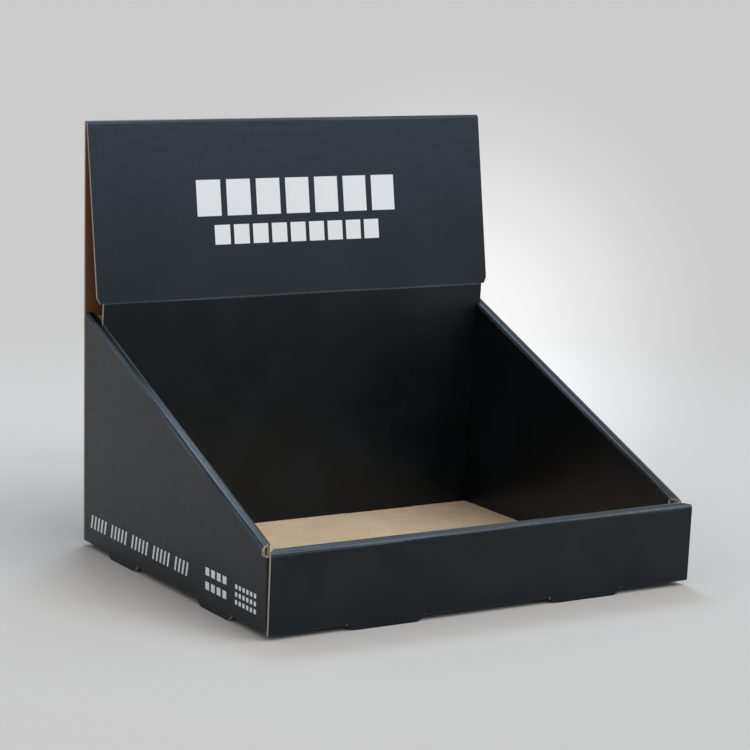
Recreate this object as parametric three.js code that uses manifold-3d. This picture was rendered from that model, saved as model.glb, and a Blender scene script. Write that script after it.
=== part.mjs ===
// Counter display box: one die-cut sheet of fluted board, scored and folded into a tray with sloping
// sides and a header that doubles back on itself. Millimetres, X across the front, Y to the back, Z up.
import * as THREE from 'three';
import { mergeVertices } from 'three/addons/utils/BufferGeometryUtils.js';
import Module from 'manifold-3d';

// Board
const boardThickness = 1.6;
const insideFoldRadius = 0.4;
const plyGap = 0.3;
const foldSegments = 5;

// Tray
const trayWidth = 300;
const trayDepth = 262;
const frontHeight = 49.5;
const frontLean = 2;
const frontRollRise = 1.2;
const frontLiningInset = 4.5;
const sideFrontHeight = 50.3;
const sideRearHeight = 154.5;
const rollWidth = 7.4;

// Header and back, heights measured from the underside of the base
const headerHeight = 278;
const headerInset = 1;
const ridgeDepth = 4.4;
const ridgeDrop = 1.8;
const headerFoldHeight = 160;
const headerFoldDepth = 21.5;
const backFootDepth = 11;
const headerCornerHeight = 7;

// Corner flaps held inside the front wall and behind the back lining
const frontFlapLength = 46;
const frontFlapHeight = 46;
const rearFlapLength = 52;
const rearFlapHeight = 150;
const flapTaper = 5;
const sideRollStart = 9;
const sideRollMitre = 4;

// Feet: tongues of the outer walls, cut from the base, that the box stands on
const footReach = 3;
const footTaper = 5;
const frontFootWidth = 53;
const frontFootSpacing = 143;
const sideFootWidth = 44;
const sideFootSpacing = 130;
const sideFootMiddle = 134;

// Tabs on the linings: behind the feet they end flush with the base, and at the back they pass through it
const tabRoot = 1;
const tabClearance = 0.5;

// Values worked out from the sizes above
const halfWidth = trayWidth / 2;
const halfBoard = boardThickness / 2;
const outsideFoldRadius = insideFoldRadius + boardThickness;
const baseUnderside = footReach;
const baseTop = baseUnderside + boardThickness;
const foldTop = baseUnderside + outsideFoldRadius;
const slotTop = foldTop + plyGap / 2;
const liningBottom = baseTop + plyGap;
const liningHalfWidth = halfWidth - rollWidth - plyGap;
const frontLiningHalfWidth = halfWidth - frontLiningInset;
const slopeAngle = Math.atan2(sideRearHeight - sideFrontHeight, trayDepth - rollWidth);
const beyond = 5;

const wasm = await Module();
wasm.setup();

function toSolid(geometry) {
  geometry.deleteAttribute('normal');
  geometry.deleteAttribute('uv');
  const merged = mergeVertices(geometry, 1e-4);
  const mesh = new wasm.Mesh({
    numProp: 3,
    vertProperties: new Float32Array(merged.attributes.position.array),
    triVerts: new Uint32Array(merged.index.array),
  });
  return new wasm.Manifold(mesh);
}

function toGeometry(solid) {
  const mesh = solid.getMesh();
  const geometry = new THREE.BufferGeometry();
  geometry.setAttribute('position', new THREE.BufferAttribute(new Float32Array(mesh.vertProperties), 3));
  geometry.setIndex(new THREE.BufferAttribute(new Uint32Array(mesh.triVerts), 1));
  geometry.computeVertexNormals();
  return geometry;
}

function joinAll(solids) {
  return solids.reduce((joined, solid) => joined.add(solid));
}

function shapeOf(points) {
  return new THREE.Shape(points.map(([a, b]) => new THREE.Vector2(a, b)));
}

// Outline drawn in (first, second) axes and pushed along the third one, from the start point
function prism(shape, length, firstAxis, secondAxis, start) {
  const geometry = new THREE.ExtrudeGeometry(shape, { depth: length, bevelEnabled: false });
  const pushAxis = new THREE.Vector3().crossVectors(firstAxis, secondAxis);
  const place = new THREE.Matrix4().makeBasis(firstAxis, secondAxis, pushAxis).setPosition(start);
  return toSolid(geometry.applyMatrix4(place));
}

const xAxis = new THREE.Vector3(1, 0, 0);
const yAxis = new THREE.Vector3(0, 1, 0);
const zAxis = new THREE.Vector3(0, 0, 1);

const alongX = (shape, from, to) => prism(shape, to - from, yAxis, zAxis, new THREE.Vector3(from, 0, 0));
const alongY = (shape, from, to) => prism(shape, to - from, xAxis, zAxis, new THREE.Vector3(0, to, 0));
const alongZ = (shape, from, to) => prism(shape, to - from, xAxis, yAxis, new THREE.Vector3(0, 0, from));

function block(xFrom, xTo, yFrom, yTo, zFrom, zTo) {
  const geometry = new THREE.BoxGeometry(xTo - xFrom, yTo - yFrom, zTo - zFrom);
  geometry.translate((xFrom + xTo) / 2, (yFrom + yTo) / 2, (zFrom + zTo) / 2);
  return toSolid(geometry);
}

// Middle line of a folded sheet, with every corner rounded to the fold radius
function foldedLine(corners) {
  const points = corners.map(([a, b]) => new THREE.Vector2(a, b));
  const stations = [];
  points.forEach((corner, i) => {
    if (i === 0 || i === points.length - 1) {
      const other = i === 0 ? points[1] : points[i - 1];
      const along = (i === 0 ? other.clone().sub(corner) : corner.clone().sub(other)).normalize();
      stations.push({ at: corner, along });
      return;
    }
    const before = corner.clone().sub(points[i - 1]).normalize();
    const after = points[i + 1].clone().sub(corner).normalize();
    const turn = Math.atan2(before.cross(after), before.dot(after));
    const radius = insideFoldRadius + halfBoard;
    const reach = radius * Math.tan(Math.abs(turn) / 2);
    const start = corner.clone().addScaledVector(before, -reach);
    const side = Math.sign(turn);
    const centre = start.clone().add(new THREE.Vector2(-before.y, before.x).multiplyScalar(side * radius));
    for (let step = 0; step <= foldSegments; step += 1) {
      const angle = (turn * step) / foldSegments;
      const along = before.clone().rotateAround(new THREE.Vector2(), angle);
      const at = start.clone().rotateAround(centre, angle);
      stations.push({ at, along });
    }
  });
  return stations;
}

// Section of a sheet of board around its middle line
function sectionAround(stations) {
  const offset = (station, distance) => [
    station.at.x - station.along.y * distance,
    station.at.y + station.along.x * distance,
  ];
  const left = stations.map((station) => offset(station, halfBoard));
  const right = stations.map((station) => offset(station, -halfBoard)).reverse();
  return shapeOf([...left, ...right]);
}

const foldedSection = (corners) => sectionAround(foldedLine(corners));

// A foot's or tab's outline across its own width: straight to the base's underside, then narrowing to its tip
function tongueOutline(middle, width, top) {
  const half = width / 2;
  return shapeOf([
    [middle - half, top],
    [middle - half, baseUnderside],
    [middle - half + footTaper, 0],
    [middle + half - footTaper, 0],
    [middle + half, baseUnderside],
    [middle + half, top],
  ]);
}

const frontMiddles = [-frontFootSpacing / 2, frontFootSpacing / 2];
const sideMiddles = [sideFootMiddle - sideFootSpacing / 2, sideFootMiddle + sideFootSpacing / 2];

// Front of the sheet from the base to the lining's edge: wall, rolled rim, lining
function frontLine() {
  const rollMiddle = halfBoard - frontLean + rollWidth - boardThickness;
  return foldedLine([
    [trayDepth / 4, baseUnderside + halfBoard],
    [halfBoard, baseUnderside + halfBoard],
    [halfBoard - frontLean, baseUnderside + frontHeight - halfBoard],
    [rollMiddle, baseUnderside + frontHeight + frontRollRise - halfBoard],
    [rollWidth - halfBoard, liningBottom],
  ]);
}

// Feet of the front wall, in line with its lean, with the lining's tabs behind them
function makeFrontLocks() {
  const [wallBottom, wallTop] = frontLine().slice(foldSegments + 1);
  const footEnd = {
    at: wallBottom.at.clone().addScaledVector(wallBottom.along, -foldTop - beyond),
    along: wallBottom.along,
  };
  const sheet = alongX(sectionAround([footEnd, wallBottom, wallTop]), -halfWidth, halfWidth);
  const top = baseUnderside + frontHeight + beyond;
  const tongues = frontMiddles.flatMap((middle) => {
    const outline = tongueOutline(middle, frontFootWidth, top);
    const foot = sheet.intersect(alongY(outline, -beyond, rollWidth));
    const halfTab = frontFootWidth / 2 - tabClearance;
    const tab = block(
      middle - halfTab,
      middle + halfTab,
      rollWidth - boardThickness,
      rollWidth,
      baseUnderside,
      liningBottom + tabRoot,
    );
    return [foot, tab];
  });
  const slots = frontMiddles.flatMap((middle) => {
    const halfSlot = frontFootWidth / 2 + plyGap;
    const range = [middle - halfSlot, middle + halfSlot];
    return [
      block(...range, -beyond, outsideFoldRadius + plyGap, 0, slotTop),
      block(...range, 0, rollWidth + plyGap, 0, baseTop + plyGap / 2),
    ];
  });
  return { tongues, slots };
}

// Feet of one side wall, with the lining's tabs behind them
function makeSideLocks(side) {
  const across = (inward) => side * (halfWidth - inward);
  const range = (outer, inner) => [across(outer), across(inner)].sort((a, b) => a - b);
  const tongues = sideMiddles.flatMap((middle) => {
    const outline = tongueOutline(middle, sideFootWidth, foldTop + tabRoot);
    const foot = alongX(outline, ...range(0, boardThickness));
    const halfTab = sideFootWidth / 2 - tabClearance;
    const tab = block(
      ...range(rollWidth - boardThickness, rollWidth),
      middle - halfTab,
      middle + halfTab,
      baseUnderside,
      liningBottom + tabRoot,
    );
    return [foot, tab];
  });
  const slots = sideMiddles.flatMap((middle) => {
    const halfSlot = sideFootWidth / 2 + plyGap;
    const ends = [middle - halfSlot, middle + halfSlot];
    return [
      block(...range(-beyond, outsideFoldRadius + plyGap), ...ends, 0, slotTop),
      block(...range(0, rollWidth + plyGap), ...ends, 0, baseTop + plyGap / 2),
    ];
  });
  return { tongues, slots };
}

// Tabs of the back lining, through slots of their own
function makeBackLocks() {
  const front = trayDepth - backFootDepth;
  const rear = front + boardThickness;
  const tongues = frontMiddles.map((middle) => (
    alongY(tongueOutline(middle, frontFootWidth, liningBottom + tabRoot), front, rear)
  ));
  const slots = frontMiddles.map((middle) => block(
    middle - frontFootWidth / 2 - plyGap,
    middle + frontFootWidth / 2 + plyGap,
    front - plyGap,
    rear + plyGap,
    0,
    baseTop + plyGap / 2,
  ));
  return { tongues, slots };
}

// The same outline swept on both sides of the box
function mirrored(points, sweep, from, to) {
  const flipped = (side) => shapeOf(points.map(([across, other]) => [side * across, other]));
  return [-1, 1].map((side) => sweep(flipped(side), from, to));
}

function makeFront() {
  const sheet = alongX(sectionAround(frontLine()), -halfWidth, halfWidth);
  const mitre = mirrored([
    [halfWidth + beyond, boardThickness - frontLean],
    [halfWidth, boardThickness - frontLean],
    [frontLiningHalfWidth, rollWidth - frontLean - boardThickness],
    [frontLiningHalfWidth, rollWidth + beyond],
    [halfWidth + beyond, rollWidth + beyond],
  ], alongZ, baseUnderside + frontFlapHeight, baseUnderside + frontHeight + beyond);
  const liningEnds = mirrored([
    [halfWidth + beyond, boardThickness + plyGap / 2],
    [frontLiningHalfWidth, boardThickness + plyGap / 2],
    [frontLiningHalfWidth, rollWidth + beyond],
    [halfWidth + beyond, rollWidth + beyond],
  ], alongZ, baseTop, baseUnderside + frontFlapHeight);
  const cut = sheet.subtract(joinAll(mitre)).subtract(joinAll(liningEnds));
  const baseEdge = mirrored([
    [halfWidth + beyond, outsideFoldRadius],
    [halfWidth - outsideFoldRadius, outsideFoldRadius],
    [halfWidth - outsideFoldRadius, trayDepth / 2],
    [halfWidth + beyond, trayDepth / 2],
  ], alongZ, 0, baseTop + beyond);
  return cut.subtract(joinAll(baseEdge));
}

function makeBack() {
  const back = trayDepth - halfBoard;
  const top = baseUnderside + headerHeight - halfBoard;
  const fold = baseUnderside + headerFoldHeight;
  const section = foldedSection([
    [trayDepth * 0.75, baseUnderside + halfBoard],
    [back, baseUnderside + halfBoard],
    [back, top],
    [trayDepth - ridgeDepth + halfBoard, top - ridgeDrop],
    [trayDepth - headerFoldDepth + halfBoard, fold],
    [trayDepth - backFootDepth + halfBoard, liningBottom],
  ]);
  const sheet = alongX(section, headerInset - halfWidth, halfWidth - headerInset);
  const frontEdge = trayDepth - headerFoldDepth - beyond;
  const rearEdge = trayDepth - outsideFoldRadius - plyGap;
  const liningEnds = mirrored([
    [halfWidth + beyond, fold + headerCornerHeight],
    [halfWidth - headerInset, fold + headerCornerHeight],
    [liningHalfWidth + headerInset, fold],
    [liningHalfWidth, fold - beyond],
    [liningHalfWidth, baseTop],
    [halfWidth + beyond, baseTop],
  ], alongY, frontEdge, rearEdge);
  const baseEdge = mirrored([
    [halfWidth + beyond, trayDepth - outsideFoldRadius],
    [halfWidth - outsideFoldRadius, trayDepth - outsideFoldRadius],
    [halfWidth - outsideFoldRadius, trayDepth / 2],
    [halfWidth + beyond, trayDepth / 2],
  ], alongZ, 0, baseTop + beyond);
  return sheet.subtract(joinAll(liningEnds)).subtract(joinAll(baseEdge));
}

// One sloping side with its rolled rim, its lining and the two flaps at its ends
function makeSide(side) {
  const across = (inward) => side * (halfWidth - inward);
  const plan = (points) => shapeOf(points.map(([inward, y]) => [across(inward), y]));
  const foldStart = outsideFoldRadius + plyGap;
  const tall = baseUnderside + sideRearHeight + beyond;

  const baseFold = alongY(foldedSection([
    [0, baseUnderside + halfBoard],
    [across(halfBoard), baseUnderside + halfBoard],
    [across(halfBoard), foldTop + plyGap],
  ]), foldStart, trayDepth - foldStart);

  const slopeAxis = new THREE.Vector3(0, Math.cos(slopeAngle), Math.sin(slopeAngle));
  const riseAxis = new THREE.Vector3(0, -Math.sin(slopeAngle), Math.cos(slopeAngle));
  const rimStart = new THREE.Vector3(0, rollWidth, baseUnderside + sideFrontHeight);
  const rimEnd = rimStart.clone().addScaledVector(slopeAxis, trayDepth * 1.5);
  const hoop = foldedSection([
    [across(halfBoard), -2 * sideRearHeight],
    [across(halfBoard), -halfBoard],
    [across(rollWidth - halfBoard), -halfBoard],
    [across(rollWidth - halfBoard), -2 * sideRearHeight],
  ]);
  const rim = prism(hoop, trayDepth * 2.5, xAxis, riseAxis, rimEnd);

  const wallFront = boardThickness + plyGap + outsideFoldRadius;
  const wallRear = trayDepth - wallFront;
  const wallRange = [across(-beyond), across(rollWidth / 2)].sort((a, b) => a - b);
  const wall = alongX(shapeOf([
    [wallFront, foldTop],
    [wallRear, foldTop],
    [wallRear, tall],
    [wallFront, tall],
  ]), ...wallRange);
  const liningRange = [across(rollWidth / 2), across(rollWidth + beyond)].sort((a, b) => a - b);
  const liningFront = sideRollStart + sideRollMitre;
  const liningRear = trayDepth - 2 * (boardThickness + plyGap);
  const lining = alongX(shapeOf([
    [rollWidth + plyGap, liningBottom],
    [liningRear, liningBottom],
    [liningRear, tall],
    [rollWidth + plyGap, tall],
  ]), ...liningRange);
  const mitre = alongZ(plan([
    [-beyond, -beyond],
    [-beyond, sideRollStart],
    [0, sideRollStart],
    [rollWidth, liningFront],
    [rollWidth + beyond, liningFront],
    [rollWidth + beyond, -beyond],
  ]), baseUnderside + frontFlapHeight, tall);
  const liningEnd = alongZ(plan([
    [rollWidth / 2, -beyond],
    [rollWidth / 2, liningFront],
    [rollWidth + beyond, liningFront],
    [rollWidth + beyond, -beyond],
  ]), 0, tall);
  const panels = rim.intersect(wall.add(lining)).subtract(mitre).subtract(liningEnd);

  const flap = (length, height, outerFace, inwardStep) => {
    const middle = outerFace + inwardStep * halfBoard;
    const sheet = alongZ(foldedSection([
      [across(halfBoard), outerFace + inwardStep * (outsideFoldRadius + plyGap)],
      [across(halfBoard), middle],
      [across(length), middle],
    ]), foldTop + plyGap, baseUnderside + height);
    const corner = alongY(plan([
      [length + beyond, baseUnderside + height + beyond],
      [length + beyond, baseUnderside + height - flapTaper * 2],
      [length, baseUnderside + height - flapTaper * 2],
      [length / 2, baseUnderside + height],
      [length / 2, baseUnderside + height + beyond],
    ]), middle - beyond, middle + beyond);
    return sheet.subtract(corner);
  };
  const flapFace = boardThickness + plyGap;
  const frontFlap = flap(frontFlapLength, frontFlapHeight, flapFace, 1);
  const rearFlap = flap(rearFlapLength, rearFlapHeight, trayDepth - flapFace, -1);

  return joinAll([baseFold, panels, frontFlap, rearFlap]);
}

function makeDisplayBox() {
  const base = block(
    -halfWidth + outsideFoldRadius,
    halfWidth - outsideFoldRadius,
    outsideFoldRadius,
    trayDepth - outsideFoldRadius,
    baseUnderside,
    baseTop,
  );
  const sheet = joinAll([base, makeFront(), makeBack(), makeSide(-1), makeSide(1)]);
  const locks = [makeFrontLocks(), makeBackLocks(), makeSideLocks(-1), makeSideLocks(1)];
  const slotted = sheet.subtract(joinAll(locks.flatMap((lock) => lock.slots)));
  return joinAll([slotted, ...locks.flatMap((lock) => lock.tongues)]);
}

const display = new THREE.Group();
const printedBoard = new THREE.MeshStandardMaterial({ color: 0x2a3037, roughness: 0.5, metalness: 0 });
const box = new THREE.Mesh(toGeometry(makeDisplayBox()), printedBoard);
box.name = 'display_box';
box.geometry.computeBoundingBox();
box.position.set(0, -box.geometry.boundingBox.getCenter(new THREE.Vector3()).y, 0);
display.add(box);

export default display;
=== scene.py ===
import bpy
import math
import numpy as np
from mathutils import Matrix, Vector


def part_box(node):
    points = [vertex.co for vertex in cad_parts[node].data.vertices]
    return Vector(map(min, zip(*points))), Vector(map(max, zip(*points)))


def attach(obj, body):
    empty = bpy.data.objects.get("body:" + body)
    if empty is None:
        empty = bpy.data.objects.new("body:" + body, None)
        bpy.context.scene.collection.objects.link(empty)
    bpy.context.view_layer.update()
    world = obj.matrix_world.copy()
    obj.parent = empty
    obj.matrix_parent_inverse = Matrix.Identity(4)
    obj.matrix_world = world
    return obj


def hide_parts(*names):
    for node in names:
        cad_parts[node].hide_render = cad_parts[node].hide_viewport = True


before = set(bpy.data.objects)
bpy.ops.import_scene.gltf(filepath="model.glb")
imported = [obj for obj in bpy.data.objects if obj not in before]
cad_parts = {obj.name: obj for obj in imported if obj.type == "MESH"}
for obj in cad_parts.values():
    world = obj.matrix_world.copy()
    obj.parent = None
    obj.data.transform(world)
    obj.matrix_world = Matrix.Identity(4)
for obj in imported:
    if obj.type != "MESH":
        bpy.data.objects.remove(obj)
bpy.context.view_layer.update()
print("frame loaded")

# the board, in metres: two liners with a waved sheet between them
board = {
    "thickness": 0.0016,
    "insideFoldRadius": 0.0004,
    "plyGap": 0.0003,
    "liner": 0.0003,
    "waveSheet": 0.00018,
    "flutePitch": 0.0034,
    "stepsPerFlute": 6,
    "foldSteps": 5,
    "gentleTurn": 0.6,
    "gentleSteps": 2,
    "creaseEdge": 0.0006,
    "creaseReach": 0.003,
    "crushed": 0.7,
    "smoothAngle": 32,
}
board["half"] = board["thickness"] / 2
board["foldRadius"] = board["insideFoldRadius"] + board["half"]
board["outsideRadius"] = board["insideFoldRadius"] + board["thickness"]
board["fluteStep"] = board["flutePitch"] / board["stepsPerFlute"]

# how close counts as touching while the flat sheets are cut and put together
cutting = {
    "touch": 1e-7,
    "merge": 2e-6,
    "gridSlack": 1e-6,
    "sameEdge": 1e-5,
}


def deselectAll():
    bpy.ops.object.select_all(action="DESELECT")


def activate(piece):
    deselectAll()
    piece.select_set(True)
    bpy.context.view_layer.objects.active = piece


def cutAlong(point, outward, clear):
    # everything past the line goes when clear is true, otherwise the line is only scored
    bpy.ops.mesh.select_all(action="SELECT")
    bpy.ops.mesh.bisect(
        plane_co=(point[0], point[1], 0),
        plane_no=(outward[0], outward[1], 0),
        clear_outer=clear,
        threshold=cutting["touch"],
    )


def cutPanel(corners, waveAxis):
    # one flat panel, cut from a plane or, for the waved sheet, from a finely ruled grid
    points = np.array(corners)
    low, high = points.min(axis=0), points.max(axis=0)
    counts = [1, 1]
    if waveAxis is not None:
        step = board["fluteStep"]
        slack = cutting["gridSlack"]
        low[waveAxis] = math.floor(low[waveAxis] / step + slack) * step
        counts[waveAxis] = max(1, math.ceil((high[waveAxis] - low[waveAxis]) / step - slack))
        high[waveAxis] = low[waveAxis] + counts[waveAxis] * step
    bpy.ops.mesh.primitive_grid_add(x_subdivisions=counts[0], y_subdivisions=counts[1], size=1)
    panel = bpy.context.object
    panel.scale = (high[0] - low[0], high[1] - low[1], 1)
    panel.location = ((low[0] + high[0]) / 2, (low[1] + high[1]) / 2, 0)
    bpy.ops.object.transform_apply(location=True, rotation=True, scale=True)
    bpy.ops.object.mode_set(mode="EDIT")
    for start, end in zip(corners, corners[1:] + corners[:1]):
        cutAlong(start, (end[1] - start[1], start[0] - end[0]), True)
    bpy.ops.object.mode_set(mode="OBJECT")
    deselectAll()
    return panel


def joinPieces(pieces):
    deselectAll()
    for piece in pieces:
        piece.select_set(True)
    bpy.context.view_layer.objects.active = pieces[0]
    bpy.ops.object.join()
    return bpy.context.object


def score(piece, scores):
    activate(piece)
    bpy.ops.object.mode_set(mode="EDIT")
    for point, across in scores:
        cutAlong(point, across, False)
    bpy.ops.object.mode_set(mode="OBJECT")


def mergeEdges(piece):
    activate(piece)
    bpy.ops.object.mode_set(mode="EDIT")
    bpy.ops.mesh.select_all(action="SELECT")
    bpy.ops.mesh.remove_doubles(threshold=cutting["merge"])
    bpy.ops.mesh.select_all(action="DESELECT")
    bpy.ops.object.mode_set(mode="OBJECT")


def dieCut(name, plan, waveAxis):
    # the flat blank of one sheet: panels side by side, scored, slotted, with the tongues inside the slots
    blank = joinPieces([cutPanel(corners, waveAxis) for corners in plan["panels"]])
    blank.name = name
    score(blank, plan["scores"])
    mergeEdges(blank)
    for face in blank.data.polygons:
        middle = face.center
        face.select = any(u0 < middle.x < u1 and v0 < middle.y < v1 for u0, u1, v0, v1 in plan["slots"])
    bpy.context.tool_settings.mesh_select_mode = (False, False, True)
    bpy.ops.object.mode_set(mode="EDIT")
    bpy.ops.mesh.delete(type="FACE")
    bpy.ops.object.mode_set(mode="OBJECT")
    bpy.context.tool_settings.mesh_select_mode = (True, False, False)
    tongues = []
    for corners in plan["tongues"]:
        deselectAll()
        tongue = cutPanel(corners, waveAxis)
        score(tongue, plan["scores"])
        tongues.append(tongue)
    blank = joinPieces([blank] + tongues)
    mergeEdges(blank)
    return blank


def readPoints(piece):
    points = np.empty(len(piece.data.vertices) * 3)
    piece.data.vertices.foreach_get("co", points)
    return points.reshape(-1, 3)


def writePoints(piece, points):
    piece.data.vertices.foreach_set("co", points.astype(np.float32).ravel())
    piece.data.update()


def flatPlaces(piece):
    # the place in the flat blank, read back for each vertex
    flat = np.empty((len(piece.data.vertices), 2))
    layer = piece.data.uv_layers["flat"]
    for loop in piece.data.loops:
        flat[loop.vertex_index] = layer.data[loop.index].uv
    return flat


def makeLayer(name, plan, waveAxis, low, thickness):
    # one paper layer, still flat, with its own thickness and its place in the flat blank kept as a UV map
    blank = dieCut(name, plan, waveAxis)
    points = readPoints(blank)
    if waveAxis is not None:
        swing = board["half"] - board["liner"] - thickness / 2
        points[:, 2] = swing * np.sin(points[:, waveAxis] * 2 * math.pi / board["flutePitch"])
        low = -thickness / 2
    points[:, 2] += low
    writePoints(blank, points)
    mesh = blank.data
    while mesh.uv_layers:
        mesh.uv_layers.remove(mesh.uv_layers[0])
    flat = mesh.uv_layers.new(name="flat")
    for loop in mesh.loops:
        flat.data[loop.index].uv = points[loop.vertex_index, :2]
    activate(blank)
    wall = blank.modifiers.new("paper", "SOLIDIFY")
    wall.thickness = thickness
    wall.offset = 1
    bpy.ops.object.modifier_apply(modifier="paper")
    points = readPoints(blank)
    points[:, :2] = flatPlaces(blank)
    writePoints(blank, points)
    return blank


# a folded chain of panels seen from its side: where each crease starts along the sheet, and its turn
def creasesOf(corners):
    points = [Vector(corner) for corner in corners]
    creases = []
    travelled = 0.0
    lastReach = 0.0
    for before, corner, after in zip(points, points[1:], points[2:]):
        turn = (corner - before).angle_signed(after - corner) * -1
        reach = board["foldRadius"] * math.tan(abs(turn) / 2)
        travelled += (corner - before).length - lastReach - reach
        creases.append((travelled, turn))
        travelled += board["foldRadius"] * abs(turn)
        lastReach = reach
    travelled += (points[-1] - points[-2]).length - lastReach
    return creases, travelled


def foldAlong(points, flat, moving, origin, outward, turn, stiff=False):
    # bends what lies past the crease; a positive turn folds towards the bare inside of the board,
    # and a stiff tongue stays in line with the panel that it belongs to
    radius = board["foldRadius"]
    arc = radius * abs(turn)
    side = math.copysign(1, turn)
    outward = np.array(outward, dtype=float)
    past = (flat - np.array(origin)) @ outward
    span = (points[:, :2] - np.array(origin)) @ outward
    lift = points[:, 2] * side
    angle = np.clip(past, 0, arc) / radius
    onArc = moving & (past > 0) & (past < arc) & np.logical_not(stiff)
    beyond = moving & ((past >= arc) | stiff)
    newSpan, newLift = span.copy(), lift.copy()
    newSpan[onArc] = (radius - lift[onArc]) * np.sin(angle[onArc])
    newLift[onArc] = radius - (radius - lift[onArc]) * np.cos(angle[onArc])
    full = abs(turn)
    rest = span[beyond] - arc
    newSpan[beyond] = radius * math.sin(full) + rest * math.cos(full) - lift[beyond] * math.sin(full)
    newLift[beyond] = radius * (1 - math.cos(full)) + rest * math.sin(full) + lift[beyond] * math.cos(full)
    shift = newSpan - span
    folded = points.copy()
    folded[:, 0] += shift * outward[0]
    folded[:, 1] += shift * outward[1]
    folded[:, 2] = newLift * side
    distance = np.maximum(-past, past - arc).clip(min=0)
    crease = (1 - distance / board["creaseReach"]).clip(min=0) ** 2
    crease[(past > 0) & ~moving] = 0
    return folded, crease


def scoresFor(origin, outward, turn):
    # lines across the sheet that let it bend, and one just outside each end of the bend
    arc = board["foldRadius"] * abs(turn)
    steps = board["foldSteps"] if abs(turn) > board["gentleTurn"] else board["gentleSteps"]
    marks = [arc * step / steps for step in range(steps + 1)]
    for reach in (board["creaseEdge"], board["creaseReach"]):
        marks += [-reach, arc + reach]
    return [((origin[0] + outward[0] * mark, origin[1] + outward[1] * mark), outward) for mark in marks]


# the box's own sizes, heights measured from the underside of the base
boxLow, boxHigh = [Vector(corner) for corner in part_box("display_box")]
tray = {
    "width": boxHigh.x - boxLow.x,
    "depth": 0.262,
    "frontHeight": 0.0495,
    "frontLean": 0.002,
    "frontRollRise": 0.0012,
    "frontLiningInset": 0.0045,
    "sideFrontHeight": 0.0503,
    "sideRearHeight": 0.1545,
    "rollWidth": 0.0074,
    "sideRollStart": 0.009,
    "sideRollMitre": 0.004,
    "frontFlap": (0.046, 0.046),
    "rearFlap": (0.052, 0.150),
    "flapDrop": 0.010,
}
header = {
    "height": 0.278,
    "inset": 0.001,
    "ridgeDepth": 0.0044,
    "ridgeDrop": 0.0018,
    "foldHeight": 0.160,
    "foldDepth": 0.0215,
    "footDepth": 0.011,
    "cornerHeight": 0.004,
    "shoulder": 0.0025,
    "shoulderRise": 0.1445,
    # the painted shade on the back panel starts this far below the height of the header's lower fold
    "paintedShadeDrop": 0.02,
}
feet = {
    "reach": 0.003,
    "taper": 0.005,
    "frontWidth": 0.053,
    "frontSpacing": 0.143,
    "sideWidth": 0.044,
    "sideSpacing": 0.130,
    "sideMiddle": 0.134,
    "notch": 0.00015,
    "tabClearance": 0.0005,
    "tipTrim": 0.00004,
    "tabTrim": 0.0001,
}
halfWidth = tray["width"] / 2
baseUnderside = feet["reach"]
baseMiddle = baseUnderside + board["half"]
liningBottom = baseUnderside + board["thickness"] + board["plyGap"]
liningHalfWidth = halfWidth - tray["rollWidth"] - board["plyGap"]
frontLiningHalfWidth = halfWidth - tray["frontLiningInset"]
frontMiddles = [-feet["frontSpacing"] / 2, feet["frontSpacing"] / 2]
sideMiddles = [feet["sideMiddle"] - feet["sideSpacing"] / 2, feet["sideMiddle"] + feet["sideSpacing"] / 2]
slotReach = tray["rollWidth"] + board["plyGap"]
frontPlane = boxHigh.y - tray["depth"]

# how strongly each fold shows rubbing and painted reflection: the centre strip's three front folds from the
# lining to the base, then its four back folds from the header's lower edge to the base
foldWearAndSheen = {
    "centre": [1.0, 1.0, 0.15, 1.0, 0.75, 0.75, 0.15],
    "rim": 1.0,
    "hidden": 0.15,
}


def trapezoid(vNear, halfNear, vFar, halfFar, middle=0.0):
    # a panel that is level with the folds, its corners in turning order whichever way it runs
    corners = [
        (middle - halfNear, vNear),
        (middle + halfNear, vNear),
        (middle + halfFar, vFar),
        (middle - halfFar, vFar),
    ]
    return corners if vFar > vNear else corners[::-1]


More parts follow.
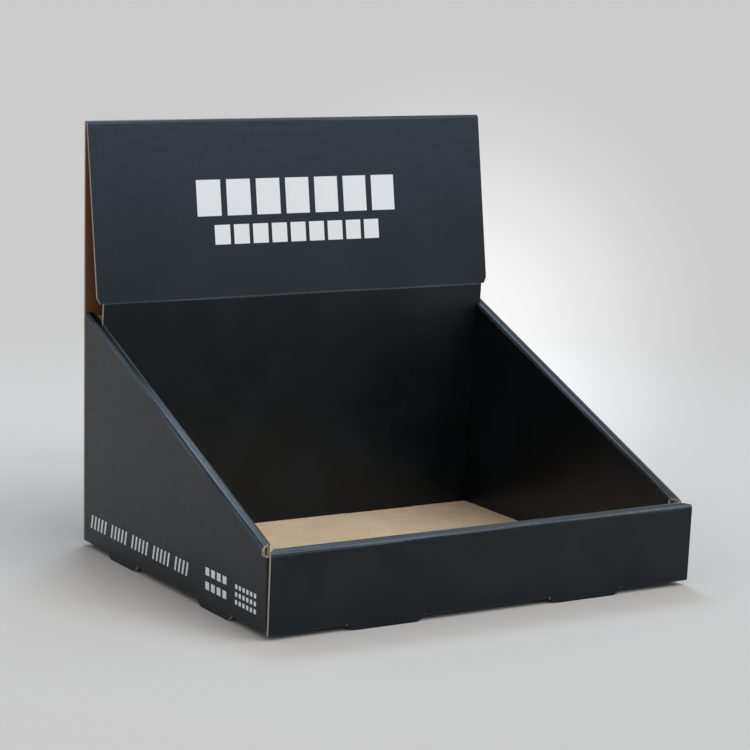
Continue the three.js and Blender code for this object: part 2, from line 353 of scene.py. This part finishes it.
def planCentreSheet():
    # the strip that runs from the front lining over the base to the back lining
    half, thickness, gap = board["half"], board["thickness"], board["plyGap"]
    rollInside = tray["rollWidth"] - half
    frontCorners = [
        (tray["depth"] / 2, baseMiddle),
        (half, baseMiddle),
        (half - tray["frontLean"], baseUnderside + tray["frontHeight"] - half),
        (rollInside - tray["frontLean"], baseUnderside + tray["frontHeight"] + tray["frontRollRise"] - half),
        (rollInside, liningBottom),
    ]
    ridgeTop = baseUnderside + header["height"] - half
    backCorners = [
        (tray["depth"] / 2, baseMiddle),
        (tray["depth"] - half, baseMiddle),
        (tray["depth"] - half, ridgeTop),
        (tray["depth"] - header["ridgeDepth"] + half, ridgeTop - header["ridgeDrop"]),
        (tray["depth"] - header["foldDepth"] + half, baseUnderside + header["foldHeight"]),
        (tray["depth"] - header["footDepth"] + half, liningBottom),
    ]
    frontCreases, frontLength = creasesOf(frontCorners)
    backCreases, backLength = creasesOf(backCorners)
    middle = tray["depth"] / 2
    folds = []
    for distance, turn in reversed(frontCreases):
        folds.append(((0, middle - distance), (0, -1), -turn))
    for distance, turn in reversed(backCreases):
        folds.append(((0, middle + distance), (0, 1), turn))
    radius = board["foldRadius"]
    frontStarts = [middle - distance for distance, turn in frontCreases]
    frontEnds = [middle - distance - radius * abs(turn) for distance, turn in frontCreases]
    backStarts = [middle + distance for distance, turn in backCreases]
    frontEdge = middle - frontLength
    backEdge = middle + backLength
    headerHalf = halfWidth - header["inset"]
    baseHalf = halfWidth - board["outsideRadius"]
    cornerStart = backStarts[3] - header["cornerHeight"]
    cornerHalf = headerHalf - header["cornerHeight"] / 2
    shoulderHalf = liningHalfWidth + header["shoulder"]
    shoulderEnd = backEdge - header["shoulderRise"]
    panels = [
        trapezoid(frontStarts[0], baseHalf, backStarts[0], baseHalf),
        trapezoid(frontStarts[0], halfWidth, frontEnds[1], halfWidth),
        trapezoid(frontEnds[1], halfWidth, frontStarts[2], frontLiningHalfWidth),
        trapezoid(frontStarts[2], frontLiningHalfWidth, frontEdge, frontLiningHalfWidth),
        trapezoid(backStarts[0], headerHalf, cornerStart, headerHalf),
        trapezoid(cornerStart, headerHalf, backStarts[3], cornerHalf),
        trapezoid(backStarts[3], shoulderHalf, shoulderEnd, shoulderHalf),
        trapezoid(shoulderEnd, liningHalfWidth, backEdge, liningHalfWidth),
    ]

    # feet in line with the front wall, and the tabs of both linings
    footHalf = feet["frontWidth"] / 2
    tabHalf = footHalf - feet["tabClearance"]
    footTop = frontEnds[0] - feet["notch"]
    wallTurn = abs(frontCreases[0][1])
    footTip = frontEnds[0] + baseMiddle / math.sin(wallTurn) + radius * math.tan(wallTurn / 2)
    footTip -= feet["tipTrim"]
    footStart = footTip - feet["reach"]
    lockLength = liningBottom - baseUnderside
    tabTip = backEdge + liningBottom - feet["tabTrim"]
    tongues = []
    for place in frontMiddles:
        tongues += [
            trapezoid(footTop, footHalf, footStart, footHalf, place),
            trapezoid(footStart, footHalf, footTip, footHalf - feet["taper"], place),
            trapezoid(frontEdge, tabHalf, frontEdge - lockLength, tabHalf, place),
            trapezoid(backEdge, footHalf, backEdge + lockLength, footHalf, place),
            trapezoid(backEdge + lockLength, footHalf, tabTip, footHalf - feet["taper"], place),
        ]
    backSlot = tray["depth"] - header["footDepth"]
    slots = []
    for place in frontMiddles:
        across = (place - footHalf - gap, place + footHalf + gap)
        slots.append((*across, footTop, slotReach))
        slots.append((*across, backSlot - gap, backSlot + thickness + gap))
    for across in ((-halfWidth, slotReach - halfWidth), (halfWidth - slotReach, halfWidth)):
        for place in sideMiddles:
            reach = feet["sideWidth"] / 2 + gap
            slots.append((*across, place - reach, place + reach))

    scores = []
    for origin, outward, turn in folds:
        scores += scoresFor(origin, outward, turn)
    for u0, u1, v0, v1 in slots:
        scores += [((u0, 0), (1, 0)), ((u1, 0), (1, 0)), ((0, v0), (0, 1)), ((0, v1), (0, 1))]
    outer = frontMiddles[1]
    breaks = [liningHalfWidth, headerHalf, baseHalf, frontLiningHalfWidth]
    breaks += [outer - footHalf, outer + footHalf]
    breaks += [outer - tabHalf, outer + tabHalf]
    breaks += [cornerHalf, shoulderHalf]
    scores.append(((0, shoulderEnd), (0, 1)))
    for place in breaks:
        scores += [((place, 0), (1, 0)), ((-place, 0), (1, 0))]
    return {
        "panels": panels,
        "scores": scores,
        "slots": slots,
        "tongues": tongues,
        "folds": folds,
        "waveAxis": 0,
        "footTip": footTip,
        "wallFold": frontStarts[0],
        "headerFold": backStarts[3],
        "ridge": backStarts[1],
        # the stretch of the flat strip that gets painted shade behind the header
        "hollow": (backStarts[0] + header["foldHeight"] - header["paintedShadeDrop"], backStarts[3]),
    }


def foldCentreSheet(points, flat, plan):
    crease = np.zeros(len(points))
    footReach = feet["frontWidth"] / 2 + board["plyGap"] / 2
    nearFoot = np.abs(np.abs(flat[:, 0]) - frontMiddles[1]) < footReach
    inFoot = nearFoot & (flat[:, 1] < plan["footTip"] + board["plyGap"])
    for (origin, outward, turn), shown in zip(plan["folds"], foldWearAndSheen["centre"]):
        past = (flat - np.array(origin)) @ np.array(outward)
        stiff = inFoot & (origin[1] == plan["wallFold"])
        points, bent = foldAlong(points, flat, (past > 0) | stiff, origin, outward, turn, stiff)
        crease = np.maximum(crease, bent * shown)
    points = points + np.array([0, frontPlane, baseMiddle])
    return points, crease


def planSideSheet():
    # one side, laid out in its own upright plane: first axis to the back, second axis up
    outside = board["outsideRadius"]
    arc = board["foldRadius"] * math.pi / 2
    angle = math.atan2(tray["sideRearHeight"] - tray["sideFrontHeight"], tray["depth"] - tray["rollWidth"])
    slope = Vector((math.cos(angle), math.sin(angle)))
    rise = Vector((-math.sin(angle), math.cos(angle)))
    top = Vector((tray["rollWidth"], baseUnderside + tray["sideFrontHeight"]))
    foldTop = baseUnderside + outside
    foldBottom = foldTop - arc
    foldStart = outside + board["plyGap"]
    wallFront = board["thickness"] + board["plyGap"] + outside
    wallRear = tray["depth"] - wallFront
    rimFront = tray["sideRollStart"]
    liningFront = rimFront + tray["sideRollMitre"]
    liningRear = tray["depth"] - 2 * (board["thickness"] + board["plyGap"])
    rimStart = top - rise * outside
    rimFlat = 2 * arc + tray["rollWidth"] - 2 * outside

    def rimPoint(y):
        # the point at this y on the line where the rim starts to roll
        along = (y - top.x + rise.x * outside) / slope.x
        return top + slope * along - rise * outside

    def unfolded(y, z):
        # where a point of the lining lies before the rim is rolled
        offset = Vector((y, z)) - top
        return tuple(top + slope * offset.dot(slope) + rise * (rimFlat - 2 * outside - offset.dot(rise)))

    rimNear, rimFar = tuple(rimPoint(rimFront)), tuple(rimPoint(wallRear))
    liningNear, liningFar = unfolded(*rimPoint(liningFront)), unfolded(*rimPoint(liningRear))
    frontTop = baseUnderside + tray["frontFlap"][1]
    rearTop = baseUnderside + tray["rearFlap"][1]
    flapBottom = foldTop + board["plyGap"]
    frontReach = wallFront - arc - tray["frontFlap"][0] + outside
    rearReach = wallRear + arc + tray["rearFlap"][0] - outside
    panels = [
        [(rimFront, foldTop), (wallRear, foldTop), rimFar, rimNear],
        [(wallFront, foldTop), (rimFront, foldTop), (rimFront, frontTop), (wallFront, frontTop)],
        [rimNear, rimFar, liningFar, liningNear],
        [liningNear, liningFar, unfolded(liningRear, liningBottom), unfolded(liningFront, liningBottom)],
        [
            (foldStart, foldBottom),
            (tray["depth"] - foldStart, foldBottom),
            (tray["depth"] - foldStart, foldTop),
            (foldStart, foldTop),
        ],
        [
            (frontReach, flapBottom),
            (wallFront, flapBottom),
            (wallFront, frontTop),
            ((frontReach + wallFront) / 2, frontTop),
            (frontReach, frontTop - tray["flapDrop"]),
        ],
        [
            (wallRear, flapBottom),
            (rearReach, flapBottom),
            (rearReach, rearTop - tray["flapDrop"]),
            ((rearReach + wallRear) / 2, rearTop),
            (wallRear, rearTop),
        ],
    ]

    # feet in line with the wall, and the lining's tabs behind them
    footHalf = feet["sideWidth"] / 2
    tabHalf = footHalf - feet["tabClearance"]
    footTop = foldTop + feet["notch"]
    tongues, slots, footSides, tabSides = [], [], [], []
    for place in sideMiddles:
        tongues.append([
            (place - footHalf, footTop),
            (place - footHalf, baseUnderside),
            (place - footHalf + feet["taper"], 0),
            (place + footHalf - feet["taper"], 0),
            (place + footHalf, baseUnderside),
            (place + footHalf, footTop),
        ])
        tongues.append([
            unfolded(place - tabHalf, liningBottom),
            unfolded(place + tabHalf, liningBottom),
            unfolded(place + tabHalf, baseUnderside),
            unfolded(place - tabHalf, baseUnderside),
        ])
        slots.append((place - footHalf - board["plyGap"], place + footHalf + board["plyGap"], 0, footTop))
        footSides += [place - footHalf, place + footHalf, *slots[-1][:2]]
        tabSides += [place - tabHalf, place + tabHalf]
    quarter = math.pi / 2
    folds = {
        "lining": (tuple(rimStart + rise * (rimFlat - arc)), tuple(rise), quarter),
        "rim": (tuple(rimStart), tuple(rise), quarter),
        "frontFlap": ((wallFront, 0), (-1, 0), quarter),
        "rearFlap": ((wallRear, 0), (1, 0), quarter),
        "base": ((0, foldTop), (0, -1), quarter),
    }
    scores = []
    for origin, outward, turn in folds.values():
        scores += scoresFor(origin, outward, turn)
    for place in [rimFront, wallFront, wallRear] + footSides:
        scores.append(((place, 0), (1, 0)))
    for place in (frontTop, rearTop, flapBottom, foldTop, footTop):
        scores.append(((0, place), (0, 1)))
    for place in tabSides:
        bottom, tip = Vector(unfolded(place, liningBottom)), Vector(unfolded(place, 0))
        run = (tip - bottom).normalized()
        scores.append((tuple(bottom), (run.y, -run.x)))
    return {
        "panels": panels,
        "scores": scores,
        "slots": slots,
        "tongues": tongues,
        "folds": folds,
        "waveAxis": 1,
        "wallFront": wallFront,
        "wallRear": wallRear,
        "frontTop": frontTop,
        "foldTop": foldTop,
        "slope": angle,
    }


def foldSideSheet(points, flat, plan, side):
    inFrontFlap = (flat[:, 0] < plan["wallFront"]) & (flat[:, 1] < plan["frontTop"] + cutting["sameEdge"])
    inBaseFold = flat[:, 1] < plan["foldTop"]
    for place in sideMiddles:
        inBaseFold &= np.abs(flat[:, 0] - place) > (feet["sideWidth"] + board["plyGap"]) / 2
    inRim = ~inFrontFlap & (flat[:, 0] <= plan["wallRear"])
    crease = np.zeros(len(points))
    for name, moving, shown in (
        ("lining", inRim, foldWearAndSheen["rim"]),
        ("rim", inRim, foldWearAndSheen["rim"]),
        ("frontFlap", inFrontFlap & ~inBaseFold, foldWearAndSheen["hidden"]),
        ("rearFlap", (flat[:, 0] > plan["wallRear"]) & ~inBaseFold, foldWearAndSheen["hidden"]),
        ("base", inBaseFold, foldWearAndSheen["hidden"]),
    ):
        points, bent = foldAlong(points, flat, moving, *plan["folds"][name])
        crease = np.maximum(crease, bent * shown)
    outward = halfWidth - board["half"] - points[:, 2]
    placed = np.column_stack([outward * side, points[:, 0] + frontPlane, points[:, 1]])
    return placed, crease


def foldLeftSide(points, flat, plan):
    return foldSideSheet(points, flat, plan, -1)


def foldRightSide(points, flat, plan):
    return foldSideSheet(points, flat, plan, 1)


def makeSheet(name, plan, fold, printed):
    # three paper layers, painted by side, folded and joined
    liner, half = board["liner"], board["half"]
    layers = [
        makeLayer(name + "Outer", plan, None, -half, liner),
        makeLayer(name + "Inner", plan, None, half - liner, liner),
        makeLayer(name + "Wave", plan, plan["waveAxis"], 0, board["waveSheet"]),
    ]
    for layer in layers:
        outer, wave = layer == layers[0], layer == layers[2]
        mesh = layer.data
        mesh.materials.clear()
        for finish in (printed, kraftFinish["made"], cutFinish["made"]):
            mesh.materials.append(finish)
        for face in mesh.polygons:
            # cut paper on the wave and on every edge, print outside and bare kraft elsewhere
            up = face.normal.z
            if wave or abs(up) < 0.5:
                face.material_index = 2
            else:
                face.material_index = 0 if outer and up < 0 else 1
        points, flat = readPoints(layer), flatPlaces(layer)
        if wave:
            # the folds press the wave flatter
            crush = fold(points, flat, plan)[1] > 0
            points[crush, 2] *= 1 - board["crushed"]
        points, crease = fold(points, flat, plan)
        writePoints(layer, points)
        bent = mesh.attributes.new("crease", "FLOAT", "POINT")
        bent.data.foreach_set("value", crease.astype(np.float32))
    sheet = joinPieces(layers)
    sheet.name = name
    bpy.ops.object.shade_smooth_by_angle(angle=math.radians(board["smoothAngle"]))
    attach(sheet, "root")
    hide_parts("display_box")
    print("folded", name, len(sheet.data.polygons), "faces")
    return sheet


def turnInsideOut(piece):
    activate(piece)
    bpy.ops.object.mode_set(mode="EDIT")
    bpy.ops.mesh.select_all(action="SELECT")
    bpy.ops.mesh.flip_normals()
    bpy.ops.object.mode_set(mode="OBJECT")


# shader helpers
class Value:
    # wraps a socket so that maths on it adds the Math nodes
    def __init__(self, paint, socket):
        self.paint, self.socket = paint, socket

    def combine(self, operation, first, second=0.0):
        made = self.paint.node("ShaderNodeMath", {"operation": operation}, {0: first, 1: second})
        return Value(self.paint, made.outputs[0])

    def __add__(self, other):
        return self.combine("ADD", self, other)

    def __radd__(self, other):
        return self.combine("ADD", other, self)

    def __sub__(self, other):
        return self.combine("SUBTRACT", self, other)

    def __rsub__(self, other):
        return self.combine("SUBTRACT", other, self)

    def __mul__(self, other):
        return self.combine("MULTIPLY", self, other)

    def __rmul__(self, other):
        return self.combine("MULTIPLY", other, self)

    def __truediv__(self, other):
        return self.combine("DIVIDE", self, other)

    def __rtruediv__(self, other):
        return self.combine("DIVIDE", other, self)

    def __gt__(self, other):
        return self.combine("GREATER_THAN", self, other)

    def __lt__(self, other):
        return self.combine("LESS_THAN", self, other)

    def __pow__(self, other):
        return self.combine("POWER", self, other)

    def largest(self, other):
        return self.combine("MAXIMUM", self, other)

    def fraction(self):
        return self.combine("FRACT", self)

    def sine(self):
        return self.combine("SINE", self)

    def within(self, low, high):
        return (self > low) * (self < high)


class Paint:
    # one material and its nodes
    def __init__(self, name):
        self.material = bpy.data.materials.new(name)
        self.material.use_nodes = True
        self.tree = self.material.node_tree
        self.shader = self.tree.nodes["Principled BSDF"]

    def node(self, kind, settings=None, inputs=None):
        made = self.tree.nodes.new(kind)
        for name, value in (settings or {}).items():
            setattr(made, name, value)
        for key, value in (inputs or {}).items():
            self.put(made.inputs[key], value)
        return made

    def put(self, socket, value):
        if isinstance(value, Value):
            value = value.socket
        if isinstance(value, bpy.types.NodeSocket):
            self.tree.links.new(value, socket)
        elif socket.type == "RGBA" and len(value) == 3:
            socket.default_value = (*value, 1)
        else:
            socket.default_value = value

    def set(self, name, value):
        self.put(self.shader.inputs[name], value)

    def value(self, socket):
        return Value(self, socket)

    def flatPlace(self):
        # the place in the flat blank, in metres
        return self.node("ShaderNodeUVMap", {"uv_map": "flat"}).outputs["UV"]

    def split(self, place):
        made = self.node("ShaderNodeSeparateXYZ", {}, {"Vector": place})
        return [self.value(made.outputs[axis]) for axis in "XYZ"]

    def stretched(self, place, factors):
        made = self.node("ShaderNodeVectorMath", {"operation": "MULTIPLY"}, {0: place, 1: factors})
        return made.outputs[0]

    def noise(self, place, scale, detail=3.0, roughness=0.5):
        made = self.node("ShaderNodeTexNoise", {}, {
            "Vector": place,
            "Scale": scale,
            "Detail": detail,
            "Roughness": roughness,
        })
        return self.value(made.outputs["Fac"])

    def graded(self, value, low, high):
        # 0 below low and 1 above high, smooth between them
        made = self.node("ShaderNodeMapRange", {"interpolation_type": "SMOOTHSTEP"}, {
            "Value": value,
            "From Min": low,
            "From Max": high,
        })
        return self.value(made.outputs["Result"])

    def blend(self, amount, first, second):
        made = self.node("ShaderNodeMix", {"data_type": "RGBA"}, {0: amount, 6: first, 7: second})
        return made.outputs[2]

    def bump(self, height, distance):
        made = self.node("ShaderNodeBump", {}, {"Height": height, "Distance": distance})
        self.set("Normal", made.outputs["Normal"])


centrePlan = planCentreSheet()
sidePlan = planSideSheet()
print("blanks planned")

printFinish = {
    "colour": (0.0026, 0.0034, 0.0046),
    "cloud": (0.0056, 0.0076, 0.0104),
    # painted light: paler, bluer print for the brighter top of the header
    "paintedTopLight": (0.0150, 0.0205, 0.0330),
    "paintedTopLightSpan": (0.015, 0.125),
    # rubbing and painted reflection: bluish grey print along the folds, strongest on the rolled rims
    "wornAndSheen": (0.070, 0.092, 0.116),
    "white": (0.80, 0.82, 0.84),
    "roughness": 0.36,
    "reflection": 0.33,
    "reflectionTint": (0.78, 0.91, 1.0),
    "cloudScale": 22.0,
    "cloudSpan": (0.35, 0.7),
    "mottleScale": 260.0,
    "grainScale": 2600.0,
    "streakStretch": (60, 240, 1),
    "paintedTopLightStreaks": (0.15, 0.75),
    "rubAndSheenStretch": (9, 800, 1),
    "rubAndSheenStreaks": 1.4,
    "rubAndSheenMottle": 0.25,
    "rubAndSheenGrain": 0.3,
    "rubAndSheenShift": 0.325,
    "rubAndSheenSpan": (0.40, 0.88),
    "dullMottle": 0.10,
    "dullStreaks": 0.16,
    "fluteShow": 0.10,
    "mottleShow": 0.55,
    "grainShow": 0.25,
    "bumpDepth": 0.00007,
}

# plain marks, in groups: the area is from, to, bottom and top, and each bar or row has a pitch and the
# share of it that is filled; two rows of bars on the header, heights measured from its lower edge
headerMarks = [
    {"area": (-0.074, 0.081, 0.054, 0.078), "slant": 0.0, "bars": [(0.0222, 0.80)], "rows": []},
    {"area": (-0.062, 0.066, 0.035, 0.048), "slant": 0.0, "bars": [(0.01425, 0.80)], "rows": []},
]

# low on each side: groups of slanted strokes, two short rows of dashes and a patch of squares
sideMarks = [
    {
        "area": (0.104, 0.250, 0.0145, 0.0235),
        "slant": 0.25,
        "bars": [(0.0052, 0.42), (0.0312, 0.80)],
        "rows": [],
    },
    {
        "area": (0.053, 0.082, 0.0125, 0.0265),
        "slant": 0.0,
        "bars": [(0.0075, 0.66)],
        "rows": [(0.0088, 0.55)],
    },
    {
        "area": (0.0155, 0.0435, 0.0125, 0.0265),
        "slant": 0.0,
        "bars": [(0.0047, 0.58)],
        "rows": [(0.0047, 0.58)],
    },
]


def markMask(marks, along, up):
    # 1 on the marks and 0 beside them
    mask = 0.0
    for group in marks:
        low, high, bottom, top = group["area"]
        shown = along.within(low, high) * up.within(bottom, top)
        slanted = along - low + up * group["slant"]
        cuts = [(slanted, cut) for cut in group["bars"]] + [(up - bottom, cut) for cut in group["rows"]]
        for place, (pitch, fill) in cuts:
            shown = shown * ((place / pitch).fraction() < fill)
        mask = shown + mask
    return mask


def makePrintFinish(name, marks, waveAxis, rubAndSheenAngle):
    # waveAxis counts the flutes, and rubAndSheenAngle is the slant of the folds on the flat sheet
    paint = Paint(name)
    flat = paint.flatPlace()
    axes = paint.split(flat)
    crease = paint.value(paint.node("ShaderNodeAttribute", {"attribute_name": "crease"}).outputs["Fac"])
    cloud = paint.noise(flat, printFinish["cloudScale"], detail=4.0)
    mottle = paint.noise(flat, printFinish["mottleScale"], roughness=0.6)
    grain = paint.noise(flat, printFinish["grainScale"], detail=2.0)
    alongFold = paint.node("ShaderNodeVectorRotate", {"rotation_type": "Z_AXIS"}, {
        "Vector": flat,
        "Angle": -rubAndSheenAngle,
    })
    # along the folds the print turns bluish grey in streaks: partly real rubbing of the ink, partly a
    # painted reflection on the rims
    rubbedAndSheen = paint.stretched(alongFold.outputs[0], printFinish["rubAndSheenStretch"])
    rubbedAndSheen = paint.noise(rubbedAndSheen, 1.0, detail=2.0)
    rubbedAndSheen = rubbedAndSheen * printFinish["rubAndSheenStreaks"] + mottle * printFinish["rubAndSheenMottle"]
    rubbedAndSheen = rubbedAndSheen + grain * printFinish["rubAndSheenGrain"] - printFinish["rubAndSheenShift"]
    wearAndSheen = paint.graded(crease * rubbedAndSheen, *printFinish["rubAndSheenSpan"])
    clouded = paint.graded(cloud, *printFinish["cloudSpan"])
    ink = paint.blend(clouded, printFinish["colour"], printFinish["cloud"])
    streaks = paint.stretched(flat, printFinish["streakStretch"])
    streaks = paint.noise(streaks, 1.0, detail=4.0, roughness=0.6)
    height = axes[1]
    if waveAxis == 0:
        # painted light: the header's print is painted paler and bluer towards its top, in streaks, for the
        # brighter light that falls there
        height = centrePlan["headerFold"] - axes[1]
        onHeader = axes[1] > centrePlan["ridge"]
        paintedTopLightMask = paint.graded(height, *printFinish["paintedTopLightSpan"]) * onHeader
        paintedTopLightMask = paintedTopLightMask * paint.graded(streaks, *printFinish["paintedTopLightStreaks"])
        ink = paint.blend(paintedTopLightMask, ink, printFinish["paintedTopLight"])
    marked = paint.blend(markMask(marks, axes[0], height), ink, printFinish["white"])
    paint.set("Base Color", paint.blend(wearAndSheen, marked, printFinish["wornAndSheen"]))
    dull = (mottle - 0.5) * printFinish["dullMottle"] + (streaks - 0.5) * printFinish["dullStreaks"]
    paint.set("Roughness", printFinish["roughness"] + dull)
    paint.set("Specular IOR Level", printFinish["reflection"])
    paint.set("Specular Tint", printFinish["reflectionTint"])
    flutes = (axes[waveAxis] * (2 * math.pi / board["flutePitch"])).sine()
    relief = flutes * printFinish["fluteShow"] + mottle * printFinish["mottleShow"]
    paint.bump(relief + grain * printFinish["grainShow"], printFinish["bumpDepth"])
    return paint.material


kraftFinish = {
    "colour": (0.84, 0.66, 0.47),
    "fibre": (0.60, 0.44, 0.28),
    "speck": (0.30, 0.20, 0.12),
    # painted shade: dark warm kraft for the recess behind the header
    "paintedShadeBehindHeader": (0.160, 0.056, 0.018),
    "paintedShadeShow": 0.94,
    "fibreStretch": (950, 330, 1),
    "fibreShow": 0.8,
    "cloudScale": 35.0,
    "cloudShow": 0.3,
    "grainSpan": (0.3, 0.8),
    "speckScale": 620.0,
    "speckSpan": (0.57, 0.66),
    "speckShow": 0.42,
    "roughness": 0.85,
    "reflection": 0.3,
    "bumpDepth": 0.00006,
}


def makeKraftFinish():
    paint = Paint("bareKraft")
    flat = paint.flatPlace()
    fibre = paint.stretched(flat, kraftFinish["fibreStretch"])
    fibre = paint.noise(fibre, 1.0, detail=4.0, roughness=0.65)
    cloud = paint.noise(flat, kraftFinish["cloudScale"])
    specks = paint.noise(flat, kraftFinish["speckScale"], roughness=0.6)
    specks = paint.graded(specks, *kraftFinish["speckSpan"])
    grain = fibre * kraftFinish["fibreShow"] + cloud * kraftFinish["cloudShow"]
    grain = paint.graded(grain, *kraftFinish["grainSpan"])
    base = paint.blend(grain, kraftFinish["colour"], kraftFinish["fibre"])
    base = paint.blend(specks * kraftFinish["speckShow"], base, kraftFinish["speck"])
    # painted shade: the bare kraft from high on the back panel over the ridge down to the header's lower
    # edge is darkened and warmed for the shade in the recess behind the header
    hollow = paint.split(flat)[1].within(*centrePlan["hollow"])
    shaded = paint.blend(hollow * kraftFinish["paintedShadeShow"], base, kraftFinish["paintedShadeBehindHeader"])
    paint.set("Base Color", shaded)
    paint.set("Roughness", kraftFinish["roughness"])
    paint.set("Specular IOR Level", kraftFinish["reflection"])
    paint.bump(fibre, kraftFinish["bumpDepth"])
    return paint.material


cutFinish = {
    "colour": (0.50, 0.45, 0.37),
    "pale": (0.70, 0.66, 0.58),
    "frayScale": 900.0,
    "fraySpan": (0.35, 0.65),
    "roughness": 0.9,
    "reflection": 0.2,
}


def makeCutFinish():
    paint = Paint("cutEdge")
    fray = paint.noise(paint.node("ShaderNodeTexCoord").outputs["Object"], cutFinish["frayScale"])
    frayed = paint.graded(fray, *cutFinish["fraySpan"])
    paint.set("Base Color", paint.blend(frayed, cutFinish["colour"], cutFinish["pale"]))
    paint.set("Roughness", cutFinish["roughness"])
    paint.set("Specular IOR Level", cutFinish["reflection"])
    return paint.material


headerPrint = makePrintFinish("coatedPrint", headerMarks, 0, 0.0)
sidePrint = makePrintFinish("coatedPrintSide", sideMarks, 1, sidePlan["slope"])
kraftFinish["made"] = makeKraftFinish()
cutFinish["made"] = makeCutFinish()
print("finishes made")

makeSheet("centreSheet", centrePlan, foldCentreSheet, headerPrint)
makeSheet("leftSide", sidePlan, foldLeftSide, sidePrint)
turnInsideOut(makeSheet("rightSide", sidePlan, foldRightSide, sidePrint))

# camera at the photograph's place, from a fit to the box's corners
camera = {
    "place": (-0.80013, -1.34031, 0.38963),
    "turn": 30.651,
    "pitch": 9.638,
    "roll": 1.301,
    "lens": 118.955,
    "sensor": 36,
}


def makeCamera():
    data = bpy.data.cameras.new("photoCamera")
    data.lens, data.sensor_width = camera["lens"], camera["sensor"]
    made = bpy.data.objects.new("photoCamera", data)
    bpy.context.scene.collection.objects.link(made)
    made.location = camera["place"]
    aim = (
        Matrix.Rotation(math.radians(-camera["turn"]), 4, "Z")
        @ Matrix.Rotation(math.radians(90 - camera["pitch"]), 4, "X")
        @ Matrix.Rotation(math.radians(camera["roll"]), 4, "Z")
    )
    made.rotation_euler = aim.to_euler()
    bpy.context.scene.camera = made


makeCamera()

# pale floor: it keeps the object's shadow near it, is one plain grey further out, and has a soft pool
# of light behind the object, which widens with the distance from its start
studio = {
    "pale": (0.604, 0.604, 0.604),
    "ground": (0.562, 0.546, 0.532),
    "floorSize": 60.0,
    "glowStart": (-0.80, -1.34, 0.0),
    "glowTurn": 30.65,
    "shadowReach": (0.42, 1.10),
    "glow": (0.97, 0.97, 0.97),
    "glowMiddle": (0.033, 0.390),
    "glowSquash": 0.39,
    "glowReach": 0.117,
    "glowFrom": 0.3,
    "roughness": 0.9,
}


def showTo(paint, colour, amount):
    # camera and glossy rays see the plain colour, by this amount
    rays = paint.node("ShaderNodeLightPath").outputs
    seen = paint.value(rays["Is Camera Ray"]).largest(paint.value(rays["Is Glossy Ray"]))
    seen = seen.largest(paint.value(rays["Is Transmission Ray"]))
    plain = paint.node("ShaderNodeEmission", {}, {"Color": colour})
    mixed = paint.node("ShaderNodeMixShader", {}, {
        0: seen * amount,
        1: paint.shader.outputs[0],
        2: plain.outputs[0],
    })
    paint.tree.links.new(mixed.outputs[0], paint.tree.nodes["Material Output"].inputs["Surface"])


def makeStudio():
    ground = Paint("paleFloor")
    place = ground.node("ShaderNodeTexCoord").outputs["Object"]
    length = ground.node("ShaderNodeVectorMath", {"operation": "LENGTH"}, {0: place})
    away = ground.value(length.outputs["Value"])
    fromCorner = ground.node("ShaderNodeVectorMath", {"operation": "SUBTRACT"}, {
        0: place,
        1: studio["glowStart"],
    })
    turned = ground.node("ShaderNodeVectorRotate", {"rotation_type": "Z_AXIS"}, {
        "Vector": fromCorner.outputs[0],
        "Angle": math.radians(studio["glowTurn"]),
    })
    across, along = ground.split(turned.outputs[0])[:2]
    sideways = across / along - studio["glowMiddle"][0]
    further = 1.0 / along - studio["glowMiddle"][1]
    spread = ((sideways ** 2) + (further * studio["glowSquash"]) ** 2) ** 0.5
    glow = ground.graded(1.0 - spread / studio["glowReach"], 0.0, 1.0) * (along > studio["glowFrom"])
    ground.set("Base Color", ground.blend(glow, studio["ground"], studio["glow"]))
    ground.set("Roughness", studio["roughness"])
    ground.set("Specular IOR Level", 0.0)
    seen = ground.blend(glow, studio["pale"], studio["glow"])
    showTo(ground, seen, ground.graded(away, *studio["shadowReach"]))
    deselectAll()
    bpy.ops.mesh.primitive_plane_add(size=studio["floorSize"])
    floor = bpy.context.object
    floor.name = "floor"
    floor.data.materials.append(ground.material)
    world = bpy.data.worlds.new("softRoom")
    bpy.context.scene.world = world
    world.use_nodes = True
    world.node_tree.nodes["Background"].inputs["Color"].default_value = (*studio["pale"], 1)


lamps = {
    "sunDirection": (0.40, -0.60, 1.0),
    "sunStrength": 1.30,
    "sunSpread": 50,
    "front": {
        "place": (1.00, -1.75, 0.98),
        "aim": (0, 0.1, 0.2),
        "size": 0.9,
        "power": 5.5,
        "colour": (0.70, 0.86, 1.0),
    },
    "top": {
        "place": (0.42, 0.95, 1.50),
        "aim": (0, 0, 0.1),
        "size": 0.6,
        "power": 9.0,
        "colour": (0.68, 0.85, 1.0),
    },
}


def addLamp(name, kind, place, aimAt):
    lamp = bpy.data.lights.new(name, kind)
    made = bpy.data.objects.new(name, lamp)
    bpy.context.scene.collection.objects.link(made)
    made.location = place
    made.rotation_euler = (Vector(aimAt) - Vector(place)).to_track_quat("-Z", "Y").to_euler()
    return lamp


def makeLamps():
    sun = addLamp("softSun", "SUN", lamps["sunDirection"], (0, 0, 0))
    sun.energy, sun.angle = lamps["sunStrength"], math.radians(lamps["sunSpread"])
    for name in ("front", "top"):
        chosen = lamps[name]
        box = addLamp(name + "Box", "AREA", chosen["place"], chosen["aim"])
        box.shape, box.size, box.energy = "SQUARE", chosen["size"], chosen["power"]
        box.color = chosen["colour"]


makeStudio()
makeLamps()
print("studio lit")

bpy.context.scene.view_settings.view_transform = "Standard"
